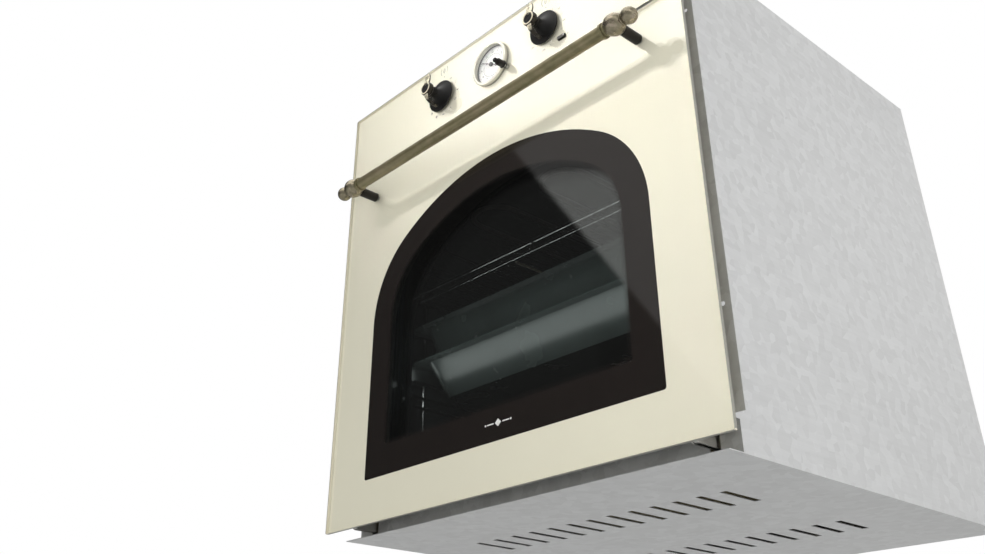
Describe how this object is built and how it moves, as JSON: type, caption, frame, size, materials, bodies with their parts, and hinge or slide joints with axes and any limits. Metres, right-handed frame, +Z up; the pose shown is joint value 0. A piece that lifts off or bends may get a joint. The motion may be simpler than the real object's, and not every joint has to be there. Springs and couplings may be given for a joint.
{
  "type": "wall oven",
  "caption": "Built-in wall oven with a cream glass front, arched window, brass bar handle, lever knobs, round clock, drop-down door, sliding trays and fan-heated cavity.",
  "frame": {"origin": "on the underside of the housing, on its centre line, in the plane of the cabinet front (the rear face of the mounting flanges)", "axes": "+Z up, +X to the right seen from the front, the front faces -Y"},
  "size_m": [0.595, 0.6107, 0.604],
  "materials": {
    "galvanised": "galvanised sheet, satin",
    "dark_steel": "dark plated steel",
    "cavity_enamel": "dark vitreous enamel with fine pale specks",
    "gasket": "woven glass fibre over silicone, matte",
    "mineral_wool": "mineral wool blanket",
    "element": "oxidised stainless sheath",
    "motor_steel": "laminated motor iron",
    "fan_steel": "pressed steel, satin",
    "chrome_wire": "bright chrome wire",
    "tray_enamel": "dark grey-green vitreous enamel, gloss",
    "ceramic": "glazed ceramic",
    "switch_plastic": "heat-proof moulding",
    "bulb_glass": "clear heat-proof bulb",
    "lens_glass": "clear glass",
    "panel_enamel": "cream enamel fired on the back of clear glass",
    "pilot_lens": "smoked grey lens",
    "black_plastic": "black nylon",
    "clock_case": "grey moulding",
    "bezel": "cream lacquer over brass",
    "dial": "white, with black printed minute track",
    "hand_black": "black lacquer",
    "knob_black": "black satin",
    "knob_brass": "antique brass, brushed",
    "clear_glass": "clear tempered glass",
    "cream_print": "cream enamel print",
    "brown_print": "very dark brown enamel print",
    "door_steel": "satin steel",
    "handle_brass": "antique brass, olive brown, brushed lengthwise",
    "ball_brass": "pale antique brass",
    "post_dark": "dark bronze lacquer",
    "hinge_steel": "zinc-plated steel"
  },
  "bodies": {
    "housing": {"housing_side_left": "galvanised", "housing_side_right": "galvanised", "housing_top_cover": "galvanised", "housing_back_cover": "galvanised", "housing_base": "galvanised", "front_frame": "door_steel", "housing_screws": "dark_steel", "cavity_shell": "cavity_enamel", "cavity_back_baffle": "cavity_enamel", "door_gasket": "gasket", "insulation_blanket": "mineral_wool", "ring_element": "element", "grill_element": "element", "bottom_element": "element", "fan_motor": "motor_steel", "side_racks": "chrome_wire", "telescopic_rails_fixed": "chrome_wire", "air_duct": "galvanised", "cooling_fan_housing": "galvanised", "cooling_fan_motor": "motor_steel", "lamp_holder": "ceramic", "lamp_bulb": "bulb_glass", "lamp_cover": "lens_glass", "control_panel_glass": "panel_enamel", "control_panel_bracket": "galvanised", "function_switch": "switch_plastic", "thermostat": "switch_plastic", "pilot_lamp": "pilot_lens", "terminal_block": "ceramic", "cable_gland": "black_plastic", "clock_body": "clock_case", "clock_bezel": "bezel", "clock_dial": "dial", "clock_lens": "lens_glass", "hinge_bodies": "hinge_steel"},
    "door": {"door_outer_glass": "clear_glass", "door_enamel_print": "cream_print", "window_border_print": "brown_print", "door_middle_glass": "clear_glass", "door_inner_glass": "clear_glass", "door_frame": "door_steel", "handle_bar": "handle_brass", "handle_posts": "post_dark", "handle_ball_ends": "ball_brass", "hinge_arms": "hinge_steel"},
    "function_knob": {"function_knob_skirt": "knob_black", "function_knob_lever": "knob_brass"},
    "thermostat_knob": {"thermostat_knob_skirt": "knob_black", "thermostat_knob_lever": "knob_brass"},
    "minute_hand": {"minute_hand": "hand_black"},
    "hour_hand": {"hour_hand": "hand_black"},
    "clock_stem": {"clock_stem_spindle": "chrome_wire"},
    "clock_stem_cap": {"clock_stem_knob": "knob_black"},
    "convection_fan": {"convection_fan": "fan_steel"},
    "cooling_fan": {"cooling_fan_rotor": "fan_steel"},
    "deep_tray": {"deep_tray": "tray_enamel", "telescopic_rails_moving": "chrome_wire"},
    "shallow_tray": {"shallow_tray": "tray_enamel"},
    "wire_shelf": {"wire_shelf": "chrome_wire"}
  },
  "joints": [
    {"name": "door_hinge", "type": "hinge", "parent": "housing", "child": "door", "pos_m": [0, -0.009, 0.0165], "axis": [1, 0, 0], "range_deg": [0, 90], "stiffness_Nm_per_rad": 10, "springref_deg": -11.46},
    {"name": "function_knob_turn", "type": "hinge", "parent": "housing", "child": "function_knob", "pos_m": [-0.098, -0.03, 0.54775], "axis": [0, 1, 0], "continuous": true},
    {"name": "thermostat_knob_turn", "type": "hinge", "parent": "housing", "child": "thermostat_knob", "pos_m": [0.098, -0.03, 0.54775], "axis": [0, 1, 0], "range_deg": [0, 270]},
    {"name": "minute_hand_turn", "type": "hinge", "parent": "housing", "child": "minute_hand", "pos_m": [0, -0.021, 0.54775], "axis": [0, 1, 0], "continuous": true},
    {"name": "hour_hand_turn", "type": "hinge", "parent": "housing", "child": "hour_hand", "pos_m": [0, -0.02, 0.54775], "axis": [0, 1, 0], "continuous": true},
    {"name": "clock_stem_pull", "type": "slide", "parent": "housing", "child": "clock_stem", "axis": [0, -1, 0], "range_m": [0, 0.0025]},
    {"name": "clock_stem_turn", "type": "hinge", "parent": "clock_stem", "child": "clock_stem_cap", "pos_m": [0.0275, -0.03, 0.52975], "axis": [0, 1, 0], "continuous": true},
    {"name": "convection_fan_spin", "type": "hinge", "parent": "housing", "child": "convection_fan", "pos_m": [0, 0.415, 0.271], "axis": [0, 1, 0], "continuous": true},
    {"name": "cooling_fan_spin", "type": "hinge", "parent": "housing", "child": "cooling_fan", "pos_m": [0, 0.345, 0.532], "axis": [1, 0, 0], "continuous": true},
    {"name": "deep_tray_slide", "type": "slide", "parent": "housing", "child": "deep_tray", "axis": [0, -1, 0], "range_m": [0, 0.2675]},
    {"name": "shallow_tray_slide", "type": "slide", "parent": "housing", "child": "shallow_tray", "axis": [0, -1, 0], "range_m": [0, 0.2361]},
    {"name": "wire_shelf_slide", "type": "slide", "parent": "housing", "child": "wire_shelf", "axis": [0, -1, 0], "range_m": [0, 0.189]}
  ],
  "couplings": [
    {"joint": "hour_hand_turn", "follows": "minute_hand_turn", "ratio": 0.083333},
    {"joint": "deep_tray_slide", "follows": "door_hinge", "m_per_rad": 0.17},
    {"joint": "shallow_tray_slide", "follows": "door_hinge", "m_per_rad": 0.15},
    {"joint": "wire_shelf_slide", "follows": "door_hinge", "m_per_rad": 0.12}
  ]
}
